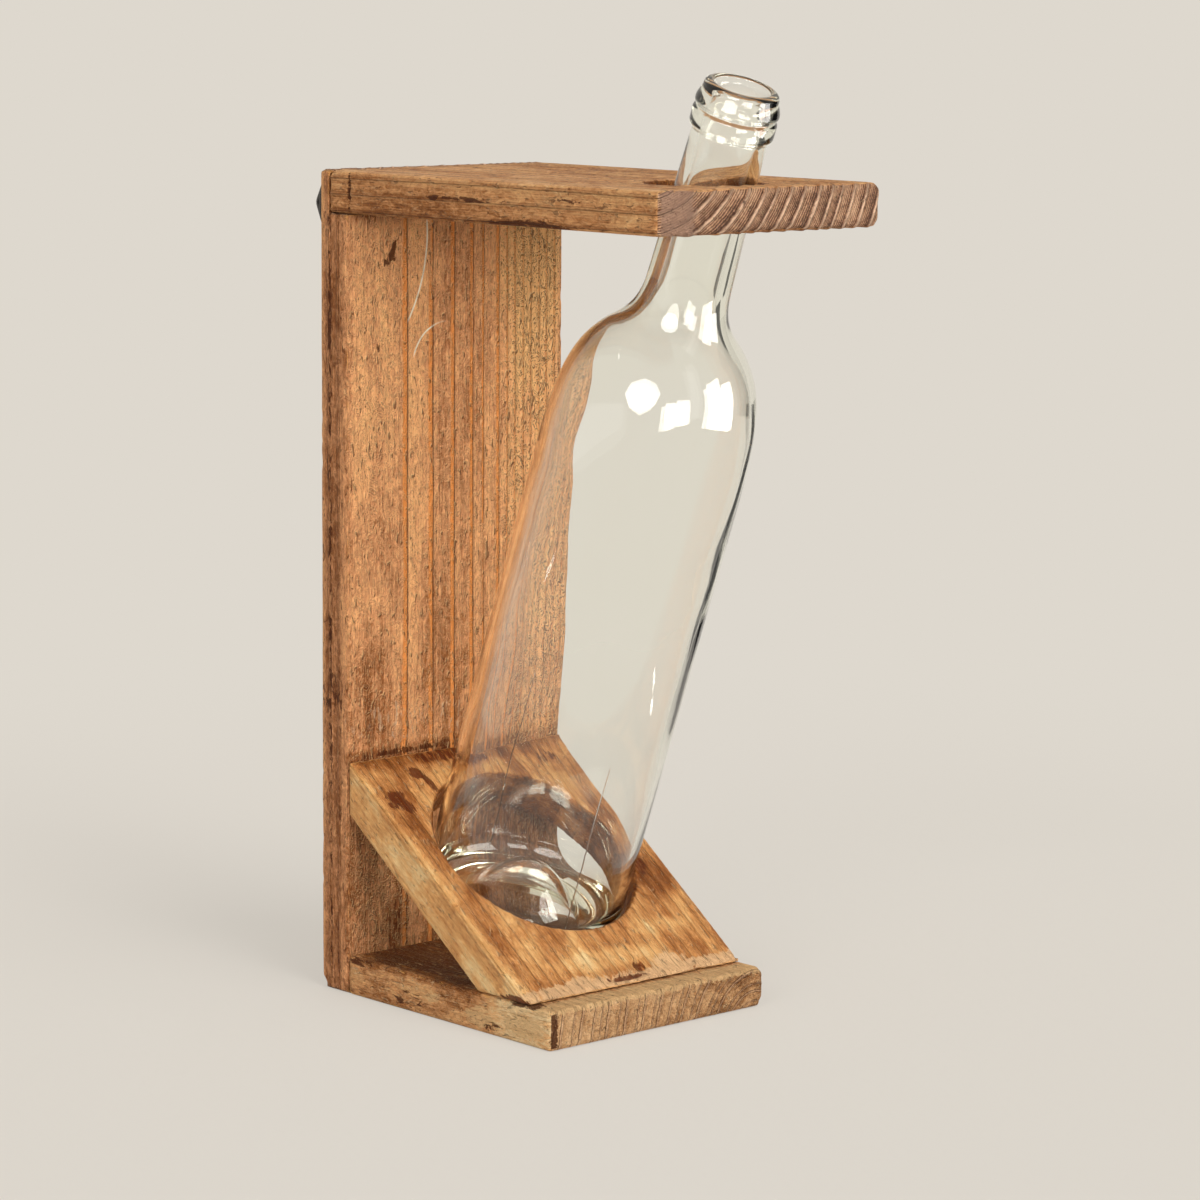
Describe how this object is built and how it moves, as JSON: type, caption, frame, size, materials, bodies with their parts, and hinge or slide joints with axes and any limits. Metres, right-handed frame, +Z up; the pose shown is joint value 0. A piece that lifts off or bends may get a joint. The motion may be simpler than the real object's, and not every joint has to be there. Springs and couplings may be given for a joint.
{
  "type": "wall vase",
  "caption": "Clear glass bottle leaning forward in a reclaimed wood frame with a neck hole above and a sloping seat below; hangs on a wall or stands.",
  "frame": {"origin": "middle of the underside of the foot, halfway between the wall and the base board's front end, on the ground", "axes": "+X to the right, +Y towards the wall (the front faces -Y), +Z up"},
  "size_m": [0.105, 0.1973, 0.3426],
  "materials": {
    "back_wood": "reclaimed board, weathered and waxed, raised grain",
    "shelf_wood": "reclaimed board, brown, open end grain at the front",
    "base_wood": "reclaimed board, brown, worn edges",
    "seat_wood": "reclaimed board, orange brown, waxed",
    "bottle_glass": "clear glass with a faint green tint, polished",
    "screw_steel": "zinc plated",
    "hanger_iron": "black japanned iron, satin"
  },
  "bodies": {
    "frame": {"back_board": "back_wood", "top_shelf": "shelf_wood", "base_board": "base_wood", "seat_board": "seat_wood", "shelf_screw_left": "screw_steel", "shelf_screw_right": "screw_steel", "base_screw_left": "screw_steel", "base_screw_right": "screw_steel", "seat_screw_left": "screw_steel", "seat_screw_right": "screw_steel", "foot_screw_left": "screw_steel", "foot_screw_right": "screw_steel", "hanger_strap_left": "hanger_iron", "hanger_screw_left": "hanger_iron", "hanger_strap_right": "hanger_iron", "hanger_screw_right": "hanger_iron"},
    "bottle": {"glass_bottle": "bottle_glass"},
    "left_ring": {"hanger_ring_left": "hanger_iron"},
    "right_ring": {"hanger_ring_right": "hanger_iron"}
  },
  "joints": [
    {"name": "bottle_lift", "type": "slide", "parent": "frame", "child": "bottle", "axis": [0, -0.3494, 0.937], "range_m": [0, 0.024]},
    {"name": "left_ring_swing", "type": "hinge", "parent": "frame", "child": "left_ring", "pos_m": [-0.0481, 0.06686, 0.292], "axis": [0, 0, 1], "range_deg": [-51, 119]},
    {"name": "right_ring_swing", "type": "hinge", "parent": "frame", "child": "right_ring", "pos_m": [0.0481, 0.06686, 0.292], "axis": [0, 0, -1], "range_deg": [-51, 119]}
  ]
}
